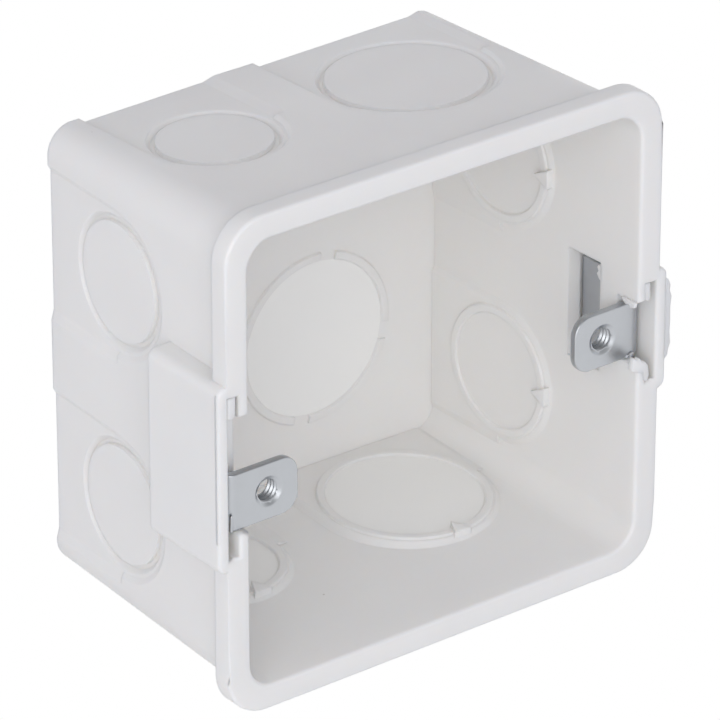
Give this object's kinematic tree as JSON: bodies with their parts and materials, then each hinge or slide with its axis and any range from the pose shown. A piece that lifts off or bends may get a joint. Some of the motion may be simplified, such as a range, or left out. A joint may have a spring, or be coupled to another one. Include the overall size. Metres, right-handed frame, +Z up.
{
  "type": "gang box",
  "caption": "Square moulded flush gang box with drafted walls, knockouts on every side and two tapped steel lugs in slots, one of which slides.",
  "frame": {"origin": "middle of the footprint, on the outside of the bottom wall", "axes": "+Z up, -Y out of the open front, +Y towards the back wall, +X to the right seen from the front"},
  "size_m": [0.079, 0.046, 0.076],
  "materials": {
    "white_plastic": "injection moulded, satin",
    "zinc_steel": "bright zinc plated"
  },
  "bodies": {
    "box": {"box_body": "white_plastic", "fixed_lug": "zinc_steel"},
    "sliding_lug": {"adjustable_lug": "zinc_steel"}
  },
  "joints": [
    {"name": "lug_slide", "type": "slide", "parent": "box", "child": "sliding_lug", "axis": [0, 0, 1], "range_m": [0, 0.0088]}
  ]
}
